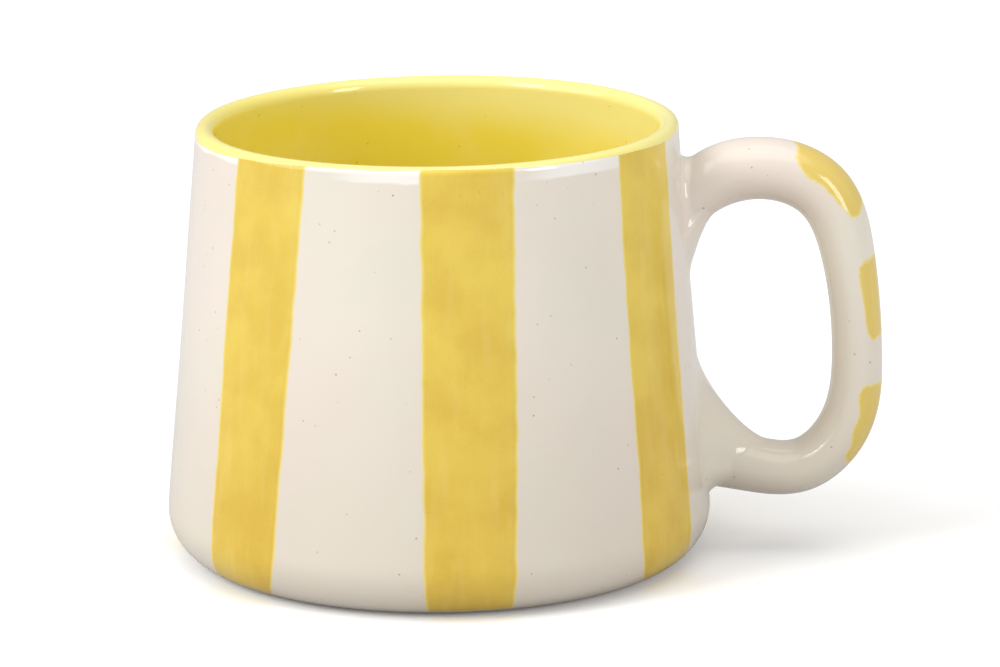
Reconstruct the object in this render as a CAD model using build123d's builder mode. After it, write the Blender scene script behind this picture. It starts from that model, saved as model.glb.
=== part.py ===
from build123d import *
import math
import os

# A hand-thrown stoneware mug: a short cone of glazed clay with seven painted bands, a lining
# of coloured glaze poured inside, and a pulled strap handle with three painted dabs.
# Millimetres, +Z up. The origin is the centre of the flat base, and the handle points along +X.

# Clay body
HEIGHT = 80.0
BASE_RADIUS = 50.2  # where the wall's slope would meet the table
RIM_RADIUS = 43.3
RIM_THICKNESS = 3.5
WALL_AT_FLOOR = 4.4
FLOOR_THICKNESS = 5.5
FOOT_ROUNDING = 9.0
RIM_ROUNDING = 1.7
INSIDE_ROUNDING = 10.0

# Coats of colour, let into the clay so that the glazed surface stays smooth
COAT = 0.35
LINER_LIP = 1.2  # how far the lining glaze runs down outside the rim
BAND_WIDTH = 16.2
BAND_FOOT = 1.2  # where the bands stop above the table
# Direction of each band from the handle and its lean, in degrees. They are painted by eye, so
# the spacing wanders, and the handle sits in the widest gap.
BANDS = [(-31.7, 0.8), (26.0, 0.0), (74.5, -0.8), (123.5, 0.6), (172.0, 0.0), (226.9, 2.0), (278.1, 0.4)]

# Handle: its centre line in the XZ plane, and its oval section along that line
HANDLE_LINE = [
    (43.0, 63.3),
    (50.4, 69.2),
    (60.0, 71.0),
    (69.2, 67.0),
    (74.2, 55.5),
    (76.0, 38.0),
    (73.4, 22.7),
    (66.0, 15.9),
    (55.9, 16.3),
    (43.0, 19.2),
]
HANDLE_STATIONS = 15
HANDLE_THICKNESS = [9.6, 11.1, 10.9, 9.5, 9.2, 9.6, 10.1, 12.0]  # evenly spaced from root to root
HANDLE_WIDTH = 12.4

# Soft clay worked round each end of the handle, as upright ovals going out from the wall:
# distance from the mug's axis, lowest and highest point, and half width
UPPER_JOINT = [
    (42.0, 46.0, 75.5, 9.6),
    (44.8, 51.0, 73.4, 8.8),
    (46.2, 54.0, 73.0, 7.7),
    (48.2, 58.6, 74.6, 6.9),
    (50.4, 62.4, 75.9, 6.5),
    (52.5, 64.6, 76.7, 6.4),
]
LOWER_JOINT = [
    (44.5, 11.0, 43.0, 13.0),
    (47.0, 12.0, 37.8, 11.4),
    (49.5, 12.2, 32.0, 9.0),
    (51.5, 12.0, 28.4, 7.4),
    (53.5, 11.6, 25.4, 6.7),
    (56.0, 11.1, 22.4, 6.4),
]

# Painted dabs on the handle's outer face: centre of each in the XZ plane, the direction of the
# brush in degrees, and the length of the stroke
DABS = [((72.9, 71.1), -47.0, 17.0), ((80.5, 46.8), -85.0, 16.5), ((78.8, 23.2), -113.0, 15.7)]
DAB_DEPTH = 8.5


def along(values, t):
    """Value at fraction t of a list of evenly spaced values."""
    place = t * (len(values) - 1)
    low = min(int(place), len(values) - 2)
    return values[low] + (values[low + 1] - values[low]) * (place - low)


# Half sections through the mug, all on the XZ plane
inner_foot_radius = BASE_RADIUS - WALL_AT_FLOOR
with BuildSketch(Plane.XZ) as cup_section:
    with BuildLine():
        Polyline(
            (0, 0),
            (BASE_RADIUS, 0),
            (RIM_RADIUS, HEIGHT),
            (RIM_RADIUS - RIM_THICKNESS, HEIGHT),
            (inner_foot_radius, FLOOR_THICKNESS),
            (0, FLOOR_THICKNESS),
            close=True,
        )
    make_face()
    fillet(cup_section.vertices().sort_by(Axis.X)[-2], INSIDE_ROUNDING)
    fillet(cup_section.vertices().sort_by(Axis.X)[-1], FOOT_ROUNDING)
    fillet(cup_section.vertices().group_by(Axis.Y)[-1], RIM_ROUNDING)

# The same section less one coat all round, drawn on both sides of the axis so that the
# offset doesn't pull in from the axis itself
with BuildSketch(Plane.XZ) as clay_section:
    add(cup_section.sketch)
    mirror(about=Plane.YZ)
    offset(amount=-COAT, mode=Mode.REPLACE)

# The lining glaze: the coat inside the cup and over the rim
with BuildSketch(Plane.XZ) as liner_section:
    add(cup_section.sketch)
    add(clay_section.sketch, mode=Mode.SUBTRACT)
    with BuildLine():
        Polyline(
            (0, FLOOR_THICKNESS / 2),
            (inner_foot_radius - INSIDE_ROUNDING, FLOOR_THICKNESS / 2),
            (BASE_RADIUS - WALL_AT_FLOOR / 2, FOOT_ROUNDING),
            (RIM_RADIUS - RIM_THICKNESS / 2, HEIGHT - LINER_LIP),
            (RIM_RADIUS + RIM_THICKNESS, HEIGHT - LINER_LIP),
            (RIM_RADIUS + RIM_THICKNESS, HEIGHT + RIM_THICKNESS),
            (0, HEIGHT + RIM_THICKNESS),
            close=True,
        )
    make_face(mode=Mode.INTERSECT)

with BuildSketch(Plane.XZ) as clay_less_liner:
    add(cup_section.sketch)
    add(liner_section.sketch, mode=Mode.SUBTRACT)

# Everything outside the bands' beds, from the foot to the lining's lip
with BuildSketch(Plane.XZ) as outside_beds:
    with BuildLine():
        Polyline(
            (BASE_RADIUS - FOOT_ROUNDING, BAND_FOOT),
            (BASE_RADIUS + FOOT_ROUNDING, BAND_FOOT),
            (BASE_RADIUS + FOOT_ROUNDING, HEIGHT - LINER_LIP),
            (RIM_RADIUS - RIM_THICKNESS / 2, HEIGHT - LINER_LIP),
            (BASE_RADIUS - WALL_AT_FLOOR / 2, FOOT_ROUNDING),
            close=True,
        )
    make_face()
    add(clay_section.sketch, mode=Mode.SUBTRACT)

with BuildPart() as whole_cup:
    with BuildSketch(Plane.XZ):
        add(cup_section.sketch)
    revolve(axis=Axis.Z)

# The cup with its inside filled, which trims whatever is joined to the outside
with BuildPart() as filled_cup:
    with BuildSketch(Plane.XZ) as filled_section:
        add(cup_section.sketch)
        with BuildLine():
            Polyline(
                (0, FLOOR_THICKNESS / 2),
                (inner_foot_radius - INSIDE_ROUNDING, FLOOR_THICKNESS / 2),
                (BASE_RADIUS - WALL_AT_FLOOR / 2, FOOT_ROUNDING),
                (RIM_RADIUS - RIM_THICKNESS / 2, HEIGHT - RIM_ROUNDING),
                (0, HEIGHT - RIM_ROUNDING),
                close=True,
            )
        make_face()
    revolve(axis=Axis.Z)

with BuildPart() as liner_glaze:
    with BuildSketch(Plane.XZ):
        add(liner_section.sketch)
    revolve(axis=Axis.Z)

# The bed of each band is a straight strip one brush wide, seen square on
beds = []
for azimuth, lean in BANDS:
    outward = Vector(math.cos(math.radians(azimuth)), math.sin(math.radians(azimuth)), 0)
    square_on = Plane(origin=(0, 0, HEIGHT / 2), x_dir=(-outward.Y, outward.X, 0), z_dir=outward)
    with BuildPart() as bed:
        with BuildSketch(Plane.XZ):
            add(outside_beds.sketch)
        revolve(axis=Axis.Z)
        with BuildSketch(square_on):
            Rectangle(BAND_WIDTH, 2 * HEIGHT, rotation=-lean)
        extrude(amount=BASE_RADIUS + BAND_WIDTH, mode=Mode.INTERSECT)
    beds.append(bed.part)

bands = []
for bed in beds:
    with BuildPart() as band:
        add(whole_cup.part)
        add(bed, mode=Mode.INTERSECT)
    bands.append(band.part)

with BuildPart() as body:
    with BuildSketch(Plane.XZ):
        add(clay_less_liner.sketch)
    revolve(axis=Axis.Z)
    add(beds, mode=Mode.SUBTRACT)

with BuildLine(Plane.XZ) as handle_line:
    Spline(*HANDLE_LINE)


def handle_form(inset):
    """The bare handle, from inside one wall to inside it again, less an inset all round."""
    with BuildPart() as form:
        for station in range(HANDLE_STATIONS):
            t = station / (HANDLE_STATIONS - 1)
            heading = handle_line.edge() % t
            with BuildSketch(Plane(origin=handle_line.edge() @ t, x_dir=(0, 1, 0), z_dir=heading)):
                Ellipse(HANDLE_WIDTH / 2 - inset, along(HANDLE_THICKNESS, t) / 2 - inset)
        loft()
    return form.part


pulled_handle = handle_form(0)
handle_core = handle_form(COAT)

# Dabs: patches of the handle's skin on its outer side
dabs = []
for centre, heading, length in DABS:
    with BuildPart() as dab:
        add(pulled_handle)
        add(handle_core, mode=Mode.SUBTRACT)
        with BuildSketch(Plane.XZ):
            with Locations(centre):
                Rectangle(length, DAB_DEPTH, rotation=heading)
        extrude(amount=HANDLE_WIDTH, both=True, mode=Mode.INTERSECT)
    dabs.append(dab.part)

with BuildPart() as handle:
    add(pulled_handle)
    add(filled_cup.part, mode=Mode.SUBTRACT)
    add(dabs, mode=Mode.SUBTRACT)


def clay_joint(ovals):
    """Collar of soft clay that spreads from the handle's surface on to the wall."""
    with BuildPart() as joint:
        for x, low, high, half_width in ovals:
            with BuildSketch(Plane(origin=(x, 0, (low + high) / 2), x_dir=(0, 1, 0), z_dir=(1, 0, 0))):
                Ellipse(half_width, (high - low) / 2)
        loft()
        add(filled_cup.part, mode=Mode.SUBTRACT)
        add(pulled_handle, mode=Mode.SUBTRACT)
    return joint


upper_handle_joint = clay_joint(UPPER_JOINT)
lower_handle_joint = clay_joint(LOWER_JOINT)

os.makedirs("parts", exist_ok=True)
pieces = {
    "body": body.part,
    "liner_glaze": liner_glaze.part,
    "handle": handle.part,
    "upper_handle_joint": upper_handle_joint.part,
    "lower_handle_joint": lower_handle_joint.part,
}
for number, band in enumerate(bands, start=1):
    pieces[f"wall_band_{number}"] = band
for number, dab in enumerate(dabs, start=1):
    pieces[f"handle_dab_{number}"] = dab
for name, piece in pieces.items():
    piece.label = name
    export_step(piece, f"parts/{name}.step")
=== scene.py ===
import math

import bmesh
import bpy
import numpy as np
from mathutils import Matrix, Vector


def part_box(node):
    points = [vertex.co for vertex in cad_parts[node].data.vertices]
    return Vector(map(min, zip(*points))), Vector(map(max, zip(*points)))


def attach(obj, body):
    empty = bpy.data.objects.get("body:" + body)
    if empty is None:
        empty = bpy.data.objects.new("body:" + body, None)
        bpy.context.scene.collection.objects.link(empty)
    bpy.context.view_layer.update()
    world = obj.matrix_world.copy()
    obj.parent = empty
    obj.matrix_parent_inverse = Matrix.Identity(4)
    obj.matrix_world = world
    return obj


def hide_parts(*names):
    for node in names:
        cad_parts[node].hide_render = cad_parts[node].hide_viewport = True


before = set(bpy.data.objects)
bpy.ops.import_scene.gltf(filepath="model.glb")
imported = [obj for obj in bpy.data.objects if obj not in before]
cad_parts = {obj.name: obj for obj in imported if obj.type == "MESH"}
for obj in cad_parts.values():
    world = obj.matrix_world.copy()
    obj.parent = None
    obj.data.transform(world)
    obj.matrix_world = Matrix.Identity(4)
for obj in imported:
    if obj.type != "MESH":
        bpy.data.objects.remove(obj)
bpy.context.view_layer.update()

MM = 0.001

# ---------------------------------------------------------------------------------------------
# The cup. Cream stoneware thrown on the wheel as a short cone with a full round rim, a rounded
# foot and a flat base wiped clean of glaze. Everything else is made on this surface, so its
# section, the node trees' arithmetic and the potter's unevenness are set out here.
# ---------------------------------------------------------------------------------------------
CUP_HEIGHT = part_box("liner_glaze")[1].z
BASE_RADIUS = 50.2 * MM  # where the wall's slope meets the table
RIM_RADIUS = 43.3 * MM
RIM_THICKNESS = 3.5 * MM
WALL_AT_FLOOR = 4.4 * MM
FLOOR_THICKNESS = 5.5 * MM
FOOT_ROUNDING = 9.0 * MM
RIM_ROUNDING = 1.5 * MM
LIP_ROUNDING = 1.9 * MM
INSIDE_ROUNDING = 10.0 * MM
WALL_SLOPE = (RIM_RADIUS - BASE_RADIUS) / CUP_HEIGHT
HAND_AMOUNT = 0.45 * MM  # how far the clay wanders from a true cone
HAND_REACH = 34.0 * MM  # over what distance it wanders
STEADY_HEIGHT = 22 * MM  # below this it wanders less, down to nothing at the table
RIM_TILT = 0.39 * MM  # the rim is this much higher beside the handle
TILT_REACH = 16 * MM  # how far out along the handle the tilt fades away
OUTLINE_STEP = 0.15 * MM
SAME_POINT = 0.002 * MM  # corners of the mesh closer than this are joined


class Wire:
    """An output in a node tree. Arithmetic on wires adds Math nodes to the tree."""

    def __init__(self, tree, socket):
        self.tree = tree
        self.socket = socket

    def other(self, name):
        """Another output of the same node."""
        return Wire(self.tree, self.socket.node.outputs[name])

    def math(self, operation, *values):
        return self.tree.node("ShaderNodeMath", {"operation": operation}, dict(enumerate(values)))

    def __add__(self, other):
        return self.math("ADD", self, other)

    def __sub__(self, other):
        return self.math("SUBTRACT", self, other)

    def __rsub__(self, other):
        return self.math("SUBTRACT", other, self)

    def __mul__(self, other):
        return self.math("MULTIPLY", self, other)

    def __truediv__(self, other):
        return self.math("DIVIDE", self, other)

    def __pow__(self, other):
        return self.math("POWER", self, other)

    def __gt__(self, other):
        return self.math("GREATER_THAN", self, other)

    __radd__ = __add__
    __rmul__ = __mul__

    def sin(self):
        return self.math("SINE", self)

    def cos(self):
        return self.math("COSINE", self)

    def asin(self):
        return self.math("ARCSINE", self)

    def abs(self):
        return self.math("ABSOLUTE", self)

    def least(self, other):
        return self.math("MINIMUM", self, other)

    def most(self, other):
        return self.math("MAXIMUM", self, other)

    def between(self, low, high):
        """0 at low, 1 at high, with a smooth step between them."""
        limits = {"Value": self, "From Min": low, "From Max": high}
        return self.tree.node("ShaderNodeMapRange", {"interpolation_type": "SMOOTHSTEP"}, limits)

    def parts(self):
        """X, Y and Z of a vector."""
        split = self.tree.node("ShaderNodeSeparateXYZ", {}, {0: self})
        return split, split.other("Y"), split.other("Z")


class Tree:
    """A geometry or shader tree while it is being built."""

    def __init__(self, tree):
        self.tree = tree

    def node(self, kind, settings, inputs, output=0):
        """Adds a node: its settings first, then values or wires for its sockets."""
        node = self.tree.nodes.new(kind)
        for name, value in settings.items():
            setattr(node, name, value)
        for name, value in inputs.items():
            if isinstance(value, Wire):
                self.tree.links.new(value.socket, node.inputs[name])
            else:
                node.inputs[name].default_value = value
        return Wire(self, node.outputs[output]) if node.outputs else node

    def vector(self, x, y, z):
        return self.node("ShaderNodeCombineXYZ", {}, {0: x, 1: y, 2: z})

    def vectors(self, operation, *values):
        return self.node("ShaderNodeVectorMath", {"operation": operation}, dict(enumerate(values)))

    def scaled(self, vector, by):
        return self.node("ShaderNodeVectorMath", {"operation": "SCALE"}, {"Vector": vector, "Scale": by})


INPUT_KINDS = {float: "NodeSocketFloat", int: "NodeSocketInt", str: "NodeSocketObject"}


def piece_tree(name, inputs):
    """A geometry tree with named inputs, and a wire from each of them.
    A number's type sets its socket's, and the word object asks for an object."""
    tree = bpy.data.node_groups.new(name, "GeometryNodeTree")
    tree.interface.new_socket("Geometry", in_out="OUTPUT", socket_type="NodeSocketGeometry")
    tree.interface.new_socket("Geometry", in_out="INPUT", socket_type="NodeSocketGeometry")
    tree.interface.new_socket("Material", in_out="INPUT", socket_type="NodeSocketMaterial")
    for label, value in inputs.items():
        socket = tree.interface.new_socket(label, in_out="INPUT", socket_type=INPUT_KINDS[type(value)])
        if value != "object":
            socket.default_value = value
    build = Tree(tree)
    start = build.node("NodeGroupInput", {}, {})
    return build, {label: start.other(label) for label in ("Geometry", "Material", *inputs)}


def finish_tree(build, given, geometry, attributes):
    """Stores the attributes, smooths the shading, gives the material and ends the tree."""
    on_points = {"data_type": "FLOAT", "domain": "POINT"}
    for name, value in attributes.items():
        stored = {"Geometry": geometry, "Name": name, "Value": value}
        geometry = build.node("GeometryNodeStoreNamedAttribute", on_points, stored)
    smooth = build.node("GeometryNodeSetShadeSmooth", {}, {"Geometry": geometry})
    real = build.node("GeometryNodeRealizeInstances", {}, {"Geometry": smooth})
    coat = {"Geometry": real, "Material": given["Material"]}
    painted = build.node("GeometryNodeSetMaterial", {}, coat)
    build.node("NodeGroupOutput", {}, {0: painted})
    return build.tree


def keep_plain(piece):
    """Gives the piece the plain mesh that its modifiers make, and takes them off."""
    graph = bpy.context.evaluated_depsgraph_get()
    finished = piece.evaluated_get(graph)
    made = bpy.data.meshes.new_from_object(finished, preserve_all_data_layers=True, depsgraph=graph)
    piece.modifiers.clear()
    piece.data = made
    made.name = piece.name


def make_piece(name, tree, mesh=None, **inputs):
    """A new object holding the plain mesh that the tree makes with these inputs."""
    piece = bpy.data.objects.new(name, mesh or bpy.data.meshes.new(name))
    bpy.context.scene.collection.objects.link(piece)
    modifier = piece.modifiers.new(name, "NODES")
    modifier.node_group = tree
    for item in tree.interface.items_tree:
        if item.in_out == "INPUT" and item.name in inputs:
            modifier[item.identifier] = inputs[item.name]
    keep_plain(piece)
    return piece


def give_thickness(piece, thickness):
    """Closes an open coat into a thin shell that reaches into the clay behind it."""
    solidify = piece.modifiers.new("thickness", "SOLIDIFY")
    solidify.thickness = thickness
    solidify.offset = -1
    keep_plain(piece)


def rounded(corners, step):
    """Points along a line through corners (x, z, radius), with each corner rounded."""
    points = [np.array(corners[0][:2])]
    for before, corner, after in zip(corners, corners[1:], corners[2:]):
        tip = np.array(corner[:2])
        back = np.array(before[:2]) - tip
        ahead = np.array(after[:2]) - tip
        back /= np.linalg.norm(back)
        ahead /= np.linalg.norm(ahead)
        half_angle = math.acos(back @ ahead) / 2
        inward = (back + ahead) / np.linalg.norm(back + ahead)
        middle = tip + inward * corner[2] / math.sin(half_angle)
        first = tip + back * corner[2] / math.tan(half_angle) - middle
        sweep = math.pi - 2 * half_angle
        turn = 1 if first[1] * back[0] > first[0] * back[1] else -1
        count = max(2, round(corner[2] * sweep / step))
        for k in range(count + 1):
            angle = turn * sweep * k / count
            cosine, sine = math.cos(angle), math.sin(angle)
            along_x = first[0] * cosine - first[1] * sine
            along_z = first[0] * sine + first[1] * cosine
            points.append(middle + np.array([along_x, along_z]))
    points.append(np.array(corners[-1][:2]))
    return np.array(points)


def line_object(name, points, radii=None):
    """A curve in the XZ plane that the node trees sample. It is a guide and isn't part of the mug."""
    curve = bpy.data.curves.new(name, "CURVE")
    curve.dimensions = "3D"
    spline = curve.splines.new("POLY")
    spline.points.add(len(points) - 1)
    for k, (x, z) in enumerate(points):
        spline.points[k].co = (x, 0, z, 1)
        spline.points[k].radius = 1 if radii is None else radii[k]
    return bpy.data.objects.new(name, curve)


# The section runs from the middle of the base, out, up the wall, over the rim and down inside.
cup_outline = rounded(
    [
        (0, 0, 0),
        (BASE_RADIUS, 0, FOOT_ROUNDING),
        (RIM_RADIUS, CUP_HEIGHT, RIM_ROUNDING),
        (RIM_RADIUS - RIM_THICKNESS, CUP_HEIGHT, LIP_ROUNDING),
        (BASE_RADIUS - WALL_AT_FLOOR, FLOOR_THICKNESS, INSIDE_ROUNDING),
        (0, FLOOR_THICKNESS, 0),
    ],
    OUTLINE_STEP,
)
cup_section = line_object("cup_section", cup_outline)
steps = np.linalg.norm(np.diff(cup_outline, axis=0), axis=1)
outline_lengths = np.concatenate([[0], np.cumsum(steps)])
rim_place = int(cup_outline[:, 1].argmax())
GATHERED = 0.10  # how closely the mesh rows gather round the rim
rim_share = outline_lengths[rim_place] / outline_lengths[-1]
RIM_ROW = float(0.5 + (rim_share - 0.5) / (1 + 2 * math.pi * GATHERED))


def length_outside(height):
    """Length along the section to a height on the outside of the wall."""
    heights, lengths = cup_outline[:rim_place, 1], outline_lengths[:rim_place]
    return float(np.interp(height, heights, lengths))


def cup_sample(build, section, length):
    """Radius and height at a length along the cup's section, and the section's direction there."""
    curve = build.node("GeometryNodeObjectInfo", {}, {"Object": section}, "Geometry")
    sought = {"Curves": curve, "Length": length}
    place = build.node("GeometryNodeSampleCurve", {"mode": "LENGTH"}, sought, "Position")
    radius, _, height = place.parts()
    outward, _, upward = place.other("Tangent").parts()
    return radius, height, outward, upward


def on_the_cup(build, sample, azimuth, lift):
    """The point of the cup's surface at a sample of its section, turned and lifted off the clay."""
    radius, height, outward, upward = sample
    lifted = radius + upward * lift
    return build.vector(lifted * azimuth.cos(), lifted * azimuth.sin(), height - outward * lift)


def worked_by_hand(build, point):
    """Moves a point by the unevenness of hand-made ware. The base stays flat."""
    waves = {"Vector": point, "Scale": 1 / HAND_REACH, "Detail": 0.0}
    wander = build.node("ShaderNodeTexNoise", {}, waves, "Color")
    x, _, z = point.parts()
    standing = z.between(1 * MM, STEADY_HEIGHT)
    centred = build.vectors("SUBTRACT", wander, (0.5, 0.5, 0.5))
    shift = build.scaled(centred, standing * HAND_AMOUNT)
    on_the_wall = 1 - x.between(RIM_RADIUS, RIM_RADIUS + TILT_REACH)
    rise = x * on_the_wall * standing * z * (RIM_TILT / RIM_RADIUS / CUP_HEIGHT)
    tilt = build.vector(0, 0, rise)
    return build.vectors("ADD", point, build.vectors("ADD", shift, tilt))


FEATHER = 2.6  # how far a coat's clear edge falls from its level, in lifts
NEAR_NOTHING = 0.001 * MM  # keeps the division safe for a piece without a margin


def feathered(lift, edge, margin):
    """Height of a coat above the clay: level where it has colour, and sinking under the clay's
    surface outside its edge, where it is clear."""
    return lift * (1 + FEATHER * edge.least(0) / (margin + NEAR_NOTHING))


def unit_grid(build, across, along):
    """A grid mesh with its two coordinates from 0 to 1."""
    grid = build.node("GeometryNodeMeshGrid", {}, {"Vertices X": across, "Vertices Y": along})
    u, v, _ = grid.other("UV Map").parts()
    return grid, u, v


def moved_to(build, geometry, point):
    return build.node("GeometryNodeSetPosition", {}, {"Geometry": geometry, "Position": point})


def closed_up(build, geometry):
    """Joins the grid's two sides where they meet, and its ends where they shrink to a point."""
    ends = {"Geometry": geometry, "Distance": SAME_POINT}
    return build.node("GeometryNodeMergeByDistance", {}, ends)


# Turned ware: a stretch of the section spun about the axis. Its first edge can run ragged. The
# rows gather round the row that the input Rim gives, as a share of them all.
RAGGED_WAVES = 1.6
build, given = piece_tree(
    "turned_on_the_wheel",
    {
        "Section": "object",
        "Start": 0.0,
        "End": 1.0,
        "Rows": 100,
        "Turns": 240,
        "Rim": 0.0,
        "Lift": 0.0,
        "Margin": 0.0,
        "Ragged": 0.0,
        "Sag": 0.0,
    },
)
grid, around, along = unit_grid(build, given["Turns"] + 1, given["Rows"])
azimuth = around * (2 * math.pi)
ring = build.vector(azimuth.cos(), azimuth.sin(), 0)
ragged = build.node("ShaderNodeTexNoise", {}, {"Vector": ring, "Scale": RAGGED_WAVES, "Detail": 3.0})
sagging = given["Sag"] * azimuth.cos() * azimuth.cos()
start = given["Start"] + given["Ragged"] * (ragged - 0.5) - sagging - given["Margin"]
swing = ((along - given["Rim"]) * (2 * math.pi)).sin() + (given["Rim"] * (2 * math.pi)).sin()
reached = (given["End"] - start) * (along - swing * GATHERED)
edge = reached - given["Margin"]
lift = feathered(given["Lift"], edge, given["Margin"])
surface = on_the_cup(build, cup_sample(build, given["Section"], start + reached), azimuth, lift)
shaped = moved_to(build, grid, worked_by_hand(build, surface))
wheel_tree = finish_tree(build, given, closed_up(build, shaped), {"edge": edge})


def new_material(name):
    material = bpy.data.materials.new(name)
    material.use_nodes = True
    material.node_tree.nodes.clear()
    return material, Tree(material.node_tree)


def mixed(build, factor, low, high):
    """A colour between two others."""
    settings = {"data_type": "RGBA", "clamp_factor": True}
    return build.node("ShaderNodeMix", settings, {0: factor, 6: low, 7: high}, 2)


def noise(build, place, reach, detail=2.0):
    """Soft noise over the piece, whose patches are about reach across."""
    waves = {"Vector": place, "Scale": 1 / reach, "Detail": detail}
    return build.node("ShaderNodeTexNoise", {}, waves)


def spots(build, place, apart, size, share):
    """Round spots, 1 in the middle of each, and a random strength for each. They are size across
    and about apart from each other, and only a share of the places for one has it."""
    scattered = {"Vector": place, "Scale": 1 / apart, "Randomness": 1.0}
    cells = build.node("ShaderNodeTexVoronoi", {}, scattered, "Distance")
    chance, strength, _ = cells.other("Color").parts()
    near = 1 - (cells * apart).between(size * 0.35, size)
    return near * (chance > 1 - share), strength


CREAM = (0.735, 0.67, 0.58, 1)
CREAM_PINK = (0.73, 0.625, 0.56, 1)
CREAM_GREEN = (0.69, 0.67, 0.56, 1)
CREAM_PAINTED_SHADE = (0.60, 0.54, 0.45, 1)  # painted shade, mixed in darker towards the foot
CREAM_RIM_HIGHLIGHT = (0.86, 0.83, 0.78, 1)  # painted highlight: glare of the lights on the rounding under the lip
WARM_CLOUDS = 26 * MM
COOL_CLOUDS = 19 * MM
RIM_HIGHLIGHT_BAND = (2.9 * MM, 2.3 * MM)  # the painted highlight's lower edge, below the rim
SPECK = (0.20, 0.13, 0.07, 1)
CREAM_SPECKS = (2.7 * MM, 0.27 * MM, 0.65)  # how far apart, how wide, what share is there
PINHOLES = (4.0 * MM, 0.25 * MM, 0.5)  # the same for them
GLAZE_ROLL = 7 * MM  # the glaze's slow waves
ORANGE_PEEL = 0.9 * MM
GLAZE_RELIEF = 0.018 * MM  # height of all of these
GLOSS_CLOUDS = 12 * MM  # patches of a little more and a little less gloss
GLAZE_ROUGHNESS = 0.10
GLAZE_IOR = 1.52


def cream_colour(build, place):
    """Off-white glaze over pale clay: faint warm and cool clouds, and fine iron specks."""
    warm_cloud = noise(build, place, WARM_CLOUDS, 1.0).between(0.40, 0.66)
    warm = mixed(build, warm_cloud * 0.55, CREAM, CREAM_PINK)
    elsewhere = build.vectors("ADD", place, (0.31, 0.17, 0.05))
    cool_cloud = noise(build, elsewhere, COOL_CLOUDS).between(0.46, 0.70)
    cool = mixed(build, cool_cloud * 0.5, warm, CREAM_GREEN)
    _, _, z = place.parts()
    # painted shade: the cream is darker towards the foot
    lower = mixed(build, (1 - z.between(0, CUP_HEIGHT * 0.75)) * 0.65, cool, CREAM_PAINTED_SHADE)
    # painted highlight: a pale line under the lip, in patches along the rim, where the lights glare
    wavering = z + (noise(build, place, 6 * MM) - 0.5) * (1 * MM)
    low, high = (CUP_HEIGHT - below for below in RIM_HIGHLIGHT_BAND)
    thickness = noise(build, place, 24 * MM, 1.0).between(0.3, 0.6)
    upper = mixed(build, wavering.between(low, high) * thickness, lower, CREAM_RIM_HIGHLIGHT)
    speck, strength = spots(build, place, *CREAM_SPECKS)
    return mixed(build, speck * (strength * 0.5 + 0.15), upper, SPECK)


def glaze_surface(build, place):
    """The glaze's slow rolls, orange peel and pinholes, as a normal for the shader."""
    elsewhere = build.vectors("ADD", place, (0.2, 0.1, 0.4))
    pinhole, _ = spots(build, elsewhere, *PINHOLES)
    peel = noise(build, place, ORANGE_PEEL, 1.0) * 0.03
    height = noise(build, place, GLAZE_ROLL, 1.0) + peel - pinhole * 0.25
    relief = {"Height": height, "Strength": 1.0, "Distance": GLAZE_RELIEF}
    return build.node("ShaderNodeBump", {}, relief)


def glaze_roughness(build, place):
    """Roughness of the glaze, which is a little glossier in some patches than in others."""
    return noise(build, place, GLOSS_CLOUDS) * 0.05 + (GLAZE_ROUGHNESS - 0.02)


def glazed(build, place, colour, roughness):
    """The shader of a glossy fired glaze."""
    inputs = {
        "Base Color": colour,
        "Roughness": roughness,
        "Normal": glaze_surface(build, place),
        "IOR": GLAZE_IOR,
    }
    shader = build.node("ShaderNodeBsdfPrincipled", {}, inputs)
    build.node("ShaderNodeOutputMaterial", {}, {"Surface": shader})


BARE_CLAY = (0.62, 0.50, 0.37, 1)
BARE_CLAY_PALE = (0.74, 0.63, 0.49, 1)
CLAY_GRAIN = 0.5 * MM
WIPED_HEIGHT = (0.25 * MM, 0.45 * MM)  # the glaze is wiped off below this
BARE_ROUGHNESS = 0.6  # on top of the glaze's

cream_glaze, build = new_material("cream_glaze")
place = build.node("ShaderNodeTexCoord", {}, {}, "Object")
_, _, z = place.parts()
wavering = z + (noise(build, place, 9 * MM, 3.0) - 0.5) * (0.5 * MM)
wiped = 1 - wavering.between(*WIPED_HEIGHT)
grain = noise(build, place, CLAY_GRAIN, 3.0)
clay_colour = mixed(build, grain, BARE_CLAY, BARE_CLAY_PALE)
colour = mixed(build, wiped, cream_colour(build, place), clay_colour)
glazed(build, place, colour, wiped * BARE_ROUGHNESS + glaze_roughness(build, place))

cup = make_piece(
    "cup",
    wheel_tree,
    Material=cream_glaze,
    Section=cup_section,
    Start=0.0,
    End=float(outline_lengths[-1]),
    Rows=400,
    Turns=240,
    Rim=RIM_ROW,
)
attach(cup, "root")
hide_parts("body")

# ---------------------------------------------------------------------------------------------
# The lining. Yellow glaze poured inside and rolled out over the rim, so that it ends in an
# uneven line just below the lip.
# ---------------------------------------------------------------------------------------------
LINER_LIP = 0.3 * MM  # how far below the top its edge starts on the outside
LINER_LIFT = 0.035 * MM
LINER_MARGIN = 0.3 * MM
LINER_WANDER = 1.0 * MM
LINER_SAG = 1.4 * MM  # it ran further down the outside on the handle's side and across from it
COAT = 0.3 * MM  # thickness of a coat, most of it in the clay
LINER_YELLOW = (0.86, 0.71, 0.08, 1)
LINER_PALE_AND_LIT = (0.87, 0.78, 0.265, 1)
PALE_AND_LIT_REACH = (3.5 * MM, 13 * MM)  # below the edge it is pale: thin glaze, and painted light on the wall below the lip
LIT_ASIDE = 0.13  # painted light: pale further down on the handle's side, lit by the key, by this share
YELLOW_SPECKS = (3.2 * MM, 0.28 * MM, 0.5)


def specked(build, place, colour):
    """The colour with a few faint iron specks in it."""
    speck, strength = spots(build, place, *YELLOW_SPECKS)
    return mixed(build, speck * (strength * 0.4), colour, SPECK)


def attribute(build, name):
    """A value that the piece's tree stored on its mesh."""
    return build.node("ShaderNodeAttribute", {"attribute_name": name}, {}, "Fac")


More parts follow.
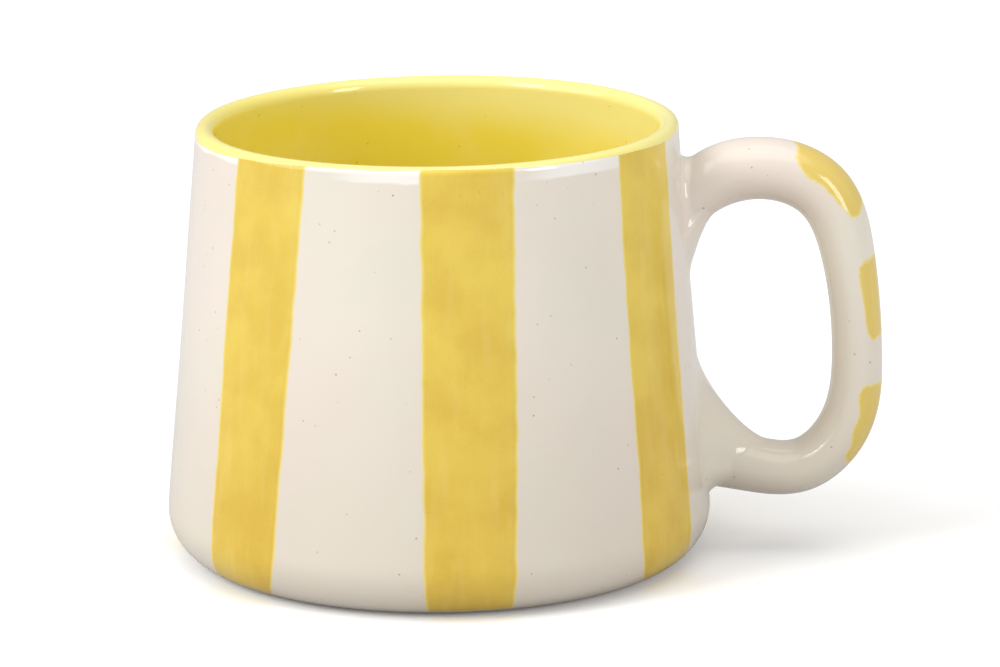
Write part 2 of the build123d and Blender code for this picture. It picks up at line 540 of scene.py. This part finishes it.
liner_glaze, build = new_material("yellow_liner")
place = build.node("ShaderNodeTexCoord", {}, {}, "Object")
cloud = noise(build, place, 14 * MM, 3.0)
colour = mixed(build, cloud.between(0.35, 0.7) * 0.35, LINER_YELLOW, LINER_PALE_AND_LIT)
x, _, _ = place.parts()
# pale below the edge: thin glaze over the rim, and painted light on the inner wall, more on the handle's
# side where the key light falls inside
thin_and_lit_below_edge = attribute(build, "edge") + (cloud - 0.5) * (2 * MM) - x * LIT_ASIDE
colour = mixed(build, 1 - thin_and_lit_below_edge.between(*PALE_AND_LIT_REACH), colour, LINER_PALE_AND_LIT)
glazed(build, place, specked(build, place, colour), glaze_roughness(build, place))

liner = make_piece(
    "lining",
    wheel_tree,
    Material=liner_glaze,
    Section=cup_section,
    Start=length_outside(CUP_HEIGHT - LINER_LIP),
    End=float(outline_lengths[-1]),
    Rows=190,
    Turns=240,
    Lift=LINER_LIFT,
    Margin=LINER_MARGIN,
    Ragged=LINER_WANDER,
    Sag=LINER_SAG,
)
give_thickness(liner, COAT)
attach(liner, "root")
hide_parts("liner_glaze")

# ---------------------------------------------------------------------------------------------
# The seven bands. Yellow colour laid on the wall in one pull of a flat brush each, from the rim
# to the rounding of the foot, under the clear glaze. Spacing and lean are listed for each band.
# ---------------------------------------------------------------------------------------------
# direction from the handle and lean, in degrees, and how far the brush swung aside at the foot
# for each millimetre that the rounding pulls in
BANDS = [
    (-31.7, 0.8, 1.1),
    (26.0, 0.0, -0.3),
    (74.5, -0.8, 0.2),
    (123.5, 0.6, 0.3),
    (172.0, 0.0, -0.2),
    (226.9, 2.0, -0.75),
    (278.1, 0.4, 0.1),
]
BAND_WIDTH = 16.5 * MM
BAND_FOOT = 1.2 * MM  # height of their lower ends
BAND_MARGIN = 1.4 * MM  # clear glaze over the clay beside the colour
BAND_LIFT = 0.015 * MM
BAND_YELLOW = (0.74, 0.545, 0.078, 1)
# deeper yellow: its random clouds and grain, and painted shade towards the foot
BAND_DEEP_AND_SHADED = (0.60, 0.385, 0.038, 1)
BAND_THIN = (0.82, 0.70, 0.26, 1)
COLOUR_CLOUDS = 11 * MM
PAINT_GRAIN = 0.4 * MM
STROKE_FINE = 500  # bristle marks for each metre across the stroke
STROKE_LONG = 60  # and along it
THIN_EDGE = 0.7 * MM  # how far in from its edge the colour is thin
EDGE_SOFTNESS = 0.22 * MM
GATHERING = 1.8  # how the mesh rows crowd towards the rim

build, given = piece_tree(
    "brushed_band",
    {
        "Section": "object",
        "Start": 0.0,
        "End": 1.0,
        "Rows": 200,
        "Columns": 30,
        "Direction": 0.0,
        "Lean": 0.0,
        "Swing": 0.0,
        "Width": BAND_WIDTH,
        "Margin": BAND_MARGIN,
        "Lift": BAND_LIFT,
    },
)
grid, across, along = unit_grid(build, given["Columns"], given["Rows"])
pulled = (given["End"] - given["Start"]) * (1 - (1 - along) ** GATHERING)
sample = cup_sample(build, given["Section"], given["Start"] + pulled)
half_width = given["Width"] * 0.5
aside = (across * 2 - 1) * (half_width + given["Margin"])
wall = BASE_RADIUS + WALL_SLOPE * sample[1]
near_foot = 1 - sample[1].between(CUP_HEIGHT / 4, CUP_HEIGHT / 2)
swing = given["Swing"] * (wall - sample[0]) * near_foot
drift = given["Lean"] * (sample[1] - CUP_HEIGHT / 2) + swing
azimuth = given["Direction"] + ((aside + drift) / wall).asin()
edge = (half_width - aside.abs()).least(pulled - given["Margin"])
surface = on_the_cup(build, sample, azimuth, feathered(given["Lift"], edge, given["Margin"]))
shaped = moved_to(build, grid, worked_by_hand(build, surface))
band_tree = finish_tree(build, given, shaped, {"edge": edge, "across": aside, "pulled": pulled})


def brushed_colour(name, waver, reach, yellow, deep):
    """Yellow brushed over the cream: streaked along the stroke, darker towards the foot as painted
    shade, and thin at its edges, which waver by so much over each reach."""
    material, build = new_material(name)
    place = build.node("ShaderNodeTexCoord", {}, {}, "Object")
    inside = attribute(build, "edge") + (noise(build, place, reach, 3.0) - 0.5) * waver
    across = attribute(build, "across") * STROKE_FINE
    stroke = build.vector(across, attribute(build, "pulled") * STROKE_LONG, 0)
    streak = noise(build, stroke, 1.0, 3.0).between(0.45, 0.75)
    cloud = noise(build, place, COLOUR_CLOUDS, 4.0).between(0.36, 0.68)
    grain = noise(build, place, PAINT_GRAIN).between(0.5, 0.8)
    _, _, z = place.parts()
    # painted shade: the colour is mixed towards the deep one near the foot
    shaded_towards_foot = 1 - z.between(0, CUP_HEIGHT * 0.8)
    colour = mixed(build, cloud * 0.45 + shaded_towards_foot * 0.5 + grain * 0.2, yellow, deep)
    colour = mixed(build, streak * 0.12, colour, BAND_THIN)
    colour = mixed(build, (1 - inside.between(0, THIN_EDGE)) * 0.6, colour, BAND_THIN)
    coat = inside.between(-EDGE_SOFTNESS, EDGE_SOFTNESS)
    colour = mixed(build, coat, cream_colour(build, place), specked(build, place, colour))
    glazed(build, place, colour, glaze_roughness(build, place))
    return material


band_colour = brushed_colour("yellow_band", 1.0 * MM, 7 * MM, BAND_YELLOW, BAND_DEEP_AND_SHADED)
for number, (direction, lean, swing) in enumerate(BANDS, start=1):
    band = make_piece(
        f"band_{number}",
        band_tree,
        Material=band_colour,
        Section=cup_section,
        Start=length_outside(BAND_FOOT) - BAND_MARGIN,
        End=length_outside(CUP_HEIGHT - LINER_LIP / 4),
        Direction=math.radians(direction),
        Lean=math.tan(math.radians(lean)),
        Swing=swing,
    )
    give_thickness(band, COAT)
    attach(band, "root")
    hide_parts(f"wall_band_{number}")

# ---------------------------------------------------------------------------------------------
# The handle. A strap of clay pulled to an oval section, thick over the top and slim down the
# grip, bent into a loop and pressed on to the wall at both ends.
# ---------------------------------------------------------------------------------------------
HANDLE_WIDTH = 12.4 * MM
# centre line and thickness in millimetres, from the upper end to the lower
HANDLE_POINTS = [
    (43.0, 63.3, 9.6),
    (50.4, 69.2, 10.9),
    (60.0, 71.0, 11.2),
    (69.2, 67.0, 11.0),
    (74.2, 55.5, 9.7),
    (76.0, 38.0, 9.2),
    (73.4, 22.7, 9.6),
    (66.0, 15.9, 9.6),
    (55.9, 16.3, 10.2),
    (43.0, 19.2, 12.0),
]
ROOT_DEPTH = 1.6 * MM  # how far the handle's ends go into the wall
GUIDE_POINTS = 240


def smooth_line(points, count):
    """Points evenly spaced along a cubic spline through the given ones, with their sizes."""
    points = np.array(points)
    chords = np.linalg.norm(np.diff(points[:, :2], axis=0), axis=1)
    knots = np.concatenate([[0], np.cumsum(chords)])
    gaps = np.diff(knots)
    last = len(points) - 1
    matrix = np.eye(last + 1)
    rhs = np.zeros_like(points)
    slopes = np.diff(points, axis=0) / gaps[:, None]
    for k in range(1, last):
        matrix[k, k - 1 : k + 2] = gaps[k - 1], 2 * (gaps[k - 1] + gaps[k]), gaps[k]
        rhs[k] = 6 * (slopes[k] - slopes[k - 1])
    bend = np.linalg.solve(matrix, rhs)
    place = np.linspace(0, knots[-1], count)
    k = np.clip(np.searchsorted(knots, place, side="right") - 1, 0, last - 1)
    a, gap = (place - knots[k])[:, None], gaps[k][:, None]
    b = gap - a
    cubic = (bend[k] * b**3 + bend[k + 1] * a**3) / (6 * gap)
    from_before = (points[k] / gap - bend[k] * gap / 6) * b
    from_after = (points[k + 1] / gap - bend[k + 1] * gap / 6) * a
    return cubic + from_before + from_after


handle_line = smooth_line(HANDLE_POINTS, GUIDE_POINTS) * MM
handle_guide = line_object("handle_guide", handle_line[:, :2], handle_line[:, 2] / 2)
handle_length = float(np.linalg.norm(np.diff(handle_line[:, :2], axis=0), axis=1).sum())


def on_the_handle(build, guide, length, angle, size, lift):
    """Point of the handle's surface at a length along it and an angle round its section, where
    0 is the outer face. Size shrinks the section, and lift moves the point off the clay."""
    curve = build.node("GeometryNodeObjectInfo", {}, {"Object": guide}, "Geometry")
    radius = build.node("GeometryNodeInputRadius", {}, {})
    sample = build.node(
        "GeometryNodeSampleCurve",
        {"mode": "LENGTH", "data_type": "FLOAT"},
        {"Curves": curve, "Value": radius, "Length": length},
        "Position",
    )
    half_thickness = sample.other("Value")
    out = build.vectors("CROSS_PRODUCT", sample.other("Tangent"), (0, 1, 0))
    flat, tall = angle.sin() / (HANDLE_WIDTH / 2), angle.cos() / half_thickness
    steep = (flat * flat + tall * tall) ** 0.5
    sideways = angle.sin() * (HANDLE_WIDTH / 2) * size + flat / steep * lift
    outward = angle.cos() * half_thickness * size + tall / steep * lift
    aside = build.vectors("ADD", build.scaled(out, outward), build.vector(0, sideways, 0))
    return build.vectors("ADD", sample, aside)


build, given = piece_tree(
    "pulled_handle",
    {
        "Guide": "object",
        "Length": 1.0,
        "Rows": 200,
        "Around": 64,
        "Depth": ROOT_DEPTH,
    },
)
grid, around, along = unit_grid(build, given["Around"] + 1, given["Rows"])
# the first and last rows shrink to the centre line and close the ends
row = along * (given["Rows"] - 1)
size = (row > 0.5) * (given["Rows"] - 1.5 > row)
even = (row - 1) / (given["Rows"] - 3)
length = even.most(0).least(1) * given["Length"]
surface = on_the_handle(build, given["Guide"], length, (0.5 - around) * (2 * math.pi), size, 0)
# what would come through the wall stops inside it
x, y, z = surface.parts()
from_axis = (x * x + y * y) ** 0.5
kept = ((z * WALL_SLOPE + BASE_RADIUS - given["Depth"]) / from_axis).most(1)
surface = build.vector(x * kept, y * kept, z)
shaped = moved_to(build, grid, worked_by_hand(build, surface))
handle_tree = finish_tree(build, given, closed_up(build, shaped), {})

handle = make_piece(
    "handle_loop",
    handle_tree,
    Material=cream_glaze,
    Guide=handle_guide,
    Length=handle_length,
)
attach(handle, "root")
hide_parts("handle")

# ---------------------------------------------------------------------------------------------
# The clay at the handle's ends. Soft clay and slip worked round each end with a thumb, smoothed
# out on to the wall so that wall and handle run together under the glaze.
# ---------------------------------------------------------------------------------------------
# How far the clay spreads over the wall and how far it reaches along the handle, in millimetres:
# on the finger loop's side, sideways and on the far side. The last figure is the share of that
# over which the clay stays close to the wall and to the handle before it bends away.
UPPER_SPREAD = ((9.0, 5.5), (1.4, 1.6), (2.2, 2.4), 0.4)
LOWER_SPREAD = ((13.0, 11.5), (5.5, 5.0), (1.0, 1.1), 0.38)
JOINT_ROWS = 26
JOINT_AROUND = 120
ROOT_SHARE = 0.3  # the clay lies within this share of the handle's length
SKIRT = 0.5 * MM  # the clay's edges run on this far under the wall
SKIRT_DEPTH = 0.03 * MM
LAP = 0.6 * MM  # and this far under the handle
RING_THICKNESS = 1.2 * MM  # how deep in the handle the ring closes
RING_DEPTH = 1.0 * MM  # and how deep in the wall


def handle_grid(lengths, angles):
    """The handle's bare surface as an array of points, by length and by angle."""
    places = np.linspace(0, handle_length, len(handle_line))
    x, z, thickness = (np.interp(lengths, places, handle_line[:, k]) for k in range(3))
    heading = np.gradient(np.stack([x, z], 1), lengths, axis=0)
    heading /= np.linalg.norm(heading, axis=1)[:, None]
    outward = thickness[:, None] / 2 * np.cos(angles)
    return np.stack(
        [
            x[:, None] - heading[:, 1:] * outward,
            np.broadcast_to(HANDLE_WIDTH / 2 * np.sin(angles), outward.shape),
            z[:, None] + heading[:, :1] * outward,
        ],
        axis=-1,
    )


def off_the_wall(points):
    """Distance across the wall, height, and distance out from the wall's surface."""
    radius = np.hypot(points[..., 0], points[..., 1])
    wall = BASE_RADIUS + WALL_SLOPE * points[..., 2]
    return np.arctan2(points[..., 1], points[..., 0]) * wall, points[..., 2], radius - wall


def from_the_wall(across, height, out):
    """The points that these distances across, heights and distances out belong to."""
    wall = BASE_RADIUS + WALL_SLOPE * height
    angle = across / wall
    return np.stack([(wall + out) * np.cos(angle), (wall + out) * np.sin(angle), height], axis=-1)


def joint_mesh(name, lower, spread):
    """A ring of clay whose outside leaves the wall and meets the handle without an edge."""
    angles = np.linspace(0, 2 * math.pi, JOINT_AROUND, endpoint=False)
    lengths = np.linspace(0, ROOT_SHARE * handle_length, 500)
    grid = handle_grid(handle_length - lengths if lower else lengths, angles)
    across, height, out = off_the_wall(grid)

    def at(distance):
        """Where the handle's surface is at a distance out from the wall, for each angle."""
        found = [
            [np.interp(distance[k], out[:, k], side[:, k]) for side in (across, height)]
            for k in range(JOINT_AROUND)
        ]
        return np.array(found)

    foot = at(np.zeros(JOINT_AROUND))
    edge = np.roll(foot, -1, 0) - np.roll(foot, 1, 0)
    normal = np.stack([edge[:, 1], -edge[:, 0]], 1) / np.linalg.norm(edge, axis=1)[:, None]
    normal *= np.sign(((foot - foot.mean(0)) * normal).sum(1))[:, None]
    # share of each side's spread, by the direction in which the clay leaves the handle
    towards_loop = np.clip(normal[:, 1] if lower else -normal[:, 1], 0, 1) ** 2
    towards_far = np.clip(-normal[:, 1] if lower else normal[:, 1], 0, 1) ** 2
    sideways = 1 - towards_loop - towards_far
    loop, side, far, close = spread
    width, reach = (
        (loop[k] * towards_loop + side[k] * sideways + far[k] * towards_far) * MM for k in range(2)
    )
    rows = []
    for t in np.linspace(0, 1, JOINT_ROWS):
        q = 3 * (1 - t) * t**2 * (1 - close) + t**3
        flare = (1 - t) ** 3 + 3 * (1 - t) ** 2 * t * (1 - close)
        place = at(reach * q) + normal * (width * flare)[:, None]
        rows.append(from_the_wall(place[:, 0], place[:, 1], reach * q))
    # both edges dip under the neighbouring clay, and the back of the ring closes inside it
    none = np.zeros(JOINT_AROUND)
    brim = foot + normal * (width + SKIRT)[:, None]
    rows.insert(0, from_the_wall(brim[:, 0], brim[:, 1], none - SKIRT_DEPTH))
    tip = at(reach + LAP) - normal * SKIRT_DEPTH
    rows.append(from_the_wall(tip[:, 0], tip[:, 1], reach + LAP))
    inside = at(reach + LAP) - normal * RING_THICKNESS
    rows.append(from_the_wall(inside[:, 0], inside[:, 1], reach + LAP))
    root = foot - normal * RING_THICKNESS
    rows.append(from_the_wall(root[:, 0], root[:, 1], none - RING_DEPTH))
    rows.append(from_the_wall(brim[:, 0], brim[:, 1], none - RING_DEPTH))
    count = len(rows)
    vertices = np.concatenate(rows)
    faces = []
    for r in range(count):
        for k in range(JOINT_AROUND):
            beside, row, after = (k + 1) % JOINT_AROUND, r * JOINT_AROUND, (r + 1) % count * JOINT_AROUND
            faces.append([row + k, row + beside, after + beside, after + k])
    mesh = bpy.data.meshes.new(name)
    mesh.from_pydata(vertices.tolist(), [], faces)
    return mesh


build, given = piece_tree("worked_clay", {})
point = build.node("GeometryNodeInputPosition", {}, {})
shaped = moved_to(build, given["Geometry"], worked_by_hand(build, point))
worked_tree = finish_tree(build, given, shaped, {})


def faces_out(mesh):
    """Turns all faces of a closed mesh outwards."""
    work = bmesh.new()
    work.from_mesh(mesh)
    bmesh.ops.recalc_face_normals(work, faces=work.faces)
    work.to_mesh(mesh)
    work.free()


for name, node, lower, spread in (
    ("upper_joint", "upper_handle_joint", False, UPPER_SPREAD),
    ("lower_joint", "lower_handle_joint", True, LOWER_SPREAD),
):
    mesh = joint_mesh(name, lower, spread)
    faces_out(mesh)
    joint = make_piece(name, worked_tree, mesh, Material=cream_glaze)
    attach(joint, "root")
    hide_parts(node)

# ---------------------------------------------------------------------------------------------
# The dabs. Three short strokes of the bands' yellow laid across the handle's outer face, each
# with rounded corners and a slant of its own.
# ---------------------------------------------------------------------------------------------
# length along the handle to the stroke's middle and its own length in millimetres, how far round
# it goes each way in degrees, how much of that it loses towards its end, and how far it slants
DABS = [
    (28.2, 12.4, 80.0, 0.12, 0.2),
    (49.9, 14.8, 80.0, 0.2, 0.12),
    (72.0, 13.8, 92.0, 0.35, 0.08),
]
DAB_CORNERS = 2.4 * MM
DAB_LIFT = 0.015 * MM
DAB_MARGIN = 1.4 * MM
DAB_YELLOW = (0.70, 0.52, 0.13, 1)
DAB_DEEP_AND_SHADED = (0.69, 0.50, 0.115, 1)

build, given = piece_tree(
    "brushed_dab",
    {
        "Guide": "object",
        "Middle": 0.0,
        "Stroke": 0.016,
        "Wrap": 1.3,
        "Narrowing": 0.0,
        "Slant": 0.0,
        "Rows": 60,
        "Columns": 60,
        "Margin": DAB_MARGIN,
        "Lift": DAB_LIFT,
    },
)
grid, across, along = unit_grid(build, given["Columns"], given["Rows"])
half_stroke = given["Stroke"] * 0.5
pulled = (along * 2 - 1) * (half_stroke + given["Margin"])
angle = (1 - across * 2) * (given["Wrap"] + given["Margin"] / (HANDLE_WIDTH / 2))
aside = angle * (HANDLE_WIDTH / 2)
# the patch itself slants, so its edges stay even
pulled = pulled - aside * given["Slant"]
reach = given["Wrap"] * (1 - given["Narrowing"] * along) * (HANDLE_WIDTH / 2)
from_side = (DAB_CORNERS - (reach - aside.abs())).most(0)
from_end = (DAB_CORNERS - (half_stroke - (pulled + aside * given["Slant"]).abs())).most(0)
edge = DAB_CORNERS - (from_side * from_side + from_end * from_end) ** 0.5
lift = feathered(given["Lift"], edge, given["Margin"])
surface = on_the_handle(build, given["Guide"], given["Middle"] + pulled, angle, 1, lift)
shaped = moved_to(build, grid, worked_by_hand(build, surface))
dab_tree = finish_tree(build, given, shaped, {"edge": edge, "across": aside, "pulled": pulled})

dab_colour = brushed_colour("yellow_dab", 2.2 * MM, 3.5 * MM, DAB_YELLOW, DAB_DEEP_AND_SHADED)
for number, (middle, stroke, wrap, narrowing, slant) in enumerate(DABS, start=1):
    dab = make_piece(
        f"dab_{number}",
        dab_tree,
        Material=dab_colour,
        Guide=handle_guide,
        Middle=middle * MM,
        Stroke=stroke * MM,
        Wrap=math.radians(wrap),
        Narrowing=narrowing,
        Slant=slant,
    )
    give_thickness(dab, COAT)
    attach(dab, "root")
    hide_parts(f"handle_dab_{number}")

# ---------------------------------------------------------------------------------------------
# The table, the lights and the camera: a plain white sweep in an even white room, wide soft
# light from the upper left and from above, and a soft window on each side.
# ---------------------------------------------------------------------------------------------
TABLE_HALF = 4.0
TABLE_LIT = (0.60, 0.60, 0.60, 1)
TABLE_SEEN = (0.95, 0.95, 0.95, 1)
TABLE_GLOW = 0.09
ROOM_STRENGTH = 0.545
table_mesh = bpy.data.meshes.new("table")
corners = [(x * TABLE_HALF, y * TABLE_HALF, 0) for x, y in ((-1, -1), (1, -1), (1, 1), (-1, 1))]
table_mesh.from_pydata(corners, [], [(0, 1, 2, 3)])
table = bpy.data.objects.new("table", table_mesh)
bpy.context.scene.collection.objects.link(table)
table_white, build = new_material("table_white")
# the table looks a little whiter than the light that it throws back on to the mug
seen = build.node("ShaderNodeLightPath", {}, {}, "Is Camera Ray")
white = mixed(build, seen, TABLE_LIT, TABLE_SEEN)
glow = mixed(build, seen, (0, 0, 0, 1), (1, 1, 1, 1))
shader = build.node(
    "ShaderNodeBsdfPrincipled",
    {},
    {
        "Base Color": white,
        "Roughness": 0.9,
        "Specular IOR Level": 0.2,
        "Emission Color": glow,
        "Emission Strength": TABLE_GLOW,
    },
)
build.node("ShaderNodeOutputMaterial", {}, {"Surface": shader})
table_mesh.materials.append(table_white)

world = bpy.data.worlds.new("room")
world.use_nodes = True
bpy.context.scene.world = world
room = world.node_tree.nodes["Background"]
room.inputs["Color"].default_value = (1.0, 1.0, 1.0, 1)
room.inputs["Strength"].default_value = ROOM_STRENGTH


def soft_light(name, place, aim, width, height, power):
    """A window of this width and height in metres, and this power in watts."""
    light = bpy.data.lights.new(name, "AREA")
    light.shape = "RECTANGLE"
    light.size, light.size_y = width, height
    light.energy = power
    lamp = bpy.data.objects.new(name, light)
    bpy.context.scene.collection.objects.link(lamp)
    turn = (Vector(aim) - Vector(place)).to_track_quat("-Z", "Y")
    lamp.matrix_world = Matrix.Translation(place) @ turn.to_matrix().to_4x4()


def wide_light(name, direction, strength, softness):
    """Light from far away, the same all over the table. Softness is its width in degrees."""
    light = bpy.data.lights.new(name, "SUN")
    light.energy = strength
    light.angle = math.radians(softness)
    lamp = bpy.data.objects.new(name, light)
    bpy.context.scene.collection.objects.link(lamp)
    turn = (-Vector(direction)).to_track_quat("-Z", "Y")
    lamp.matrix_world = turn.to_matrix().to_4x4()


wide_light("key", (-0.80, -0.28, 0.53), 1.45, 55)
wide_light("overhead", (0.05, -0.15, 1.0), 0.95, 60)
soft_light("window_left", (-1.5, -1.05, 1.25), (0.02, 0, 0.05), 0.6, 0.9, 10.5)
soft_light("window_right", (1.8, -1.4, 0.95), (0, 0, 0.05), 0.6, 1.2, 15.5)

CAMERA_LENS = 198.08  # in millimetres, for a frame 36 mm wide
CAMERA_FRAME = 36.0
CAMERA_DISTANCE = 0.99885
CAMERA_TURN = math.radians(1.5)  # round from straight in front, towards the handle
CAMERA_RISE = math.radians(13.653)
CAMERA_ROLL = math.radians(-0.212)
AIM_ASIDE = 11.2 * MM  # the view is centred on the whole mug with its handle
AIM_HEIGHT = 40.4 * MM
camera_data = bpy.data.cameras.new("camera")
camera_data.lens = CAMERA_LENS
camera_data.sensor_width = CAMERA_FRAME
camera_data.clip_start = 0.05
camera = bpy.data.objects.new("camera", camera_data)
bpy.context.scene.collection.objects.link(camera)
bpy.context.scene.camera = camera
level = CAMERA_DISTANCE * math.cos(CAMERA_RISE)
height = CAMERA_DISTANCE * math.sin(CAMERA_RISE) + CUP_HEIGHT / 2
stand = Vector((level * math.sin(CAMERA_TURN), -level * math.cos(CAMERA_TURN), height))
aim = Vector((AIM_ASIDE * math.cos(CAMERA_TURN), AIM_ASIDE * math.sin(CAMERA_TURN), AIM_HEIGHT))
turn = (aim - stand).to_track_quat("-Z", "Y").to_matrix().to_4x4()
camera.matrix_world = Matrix.Translation(stand) @ turn @ Matrix.Rotation(CAMERA_ROLL, 4, "Z")

bpy.context.scene.view_settings.view_transform = "Standard"
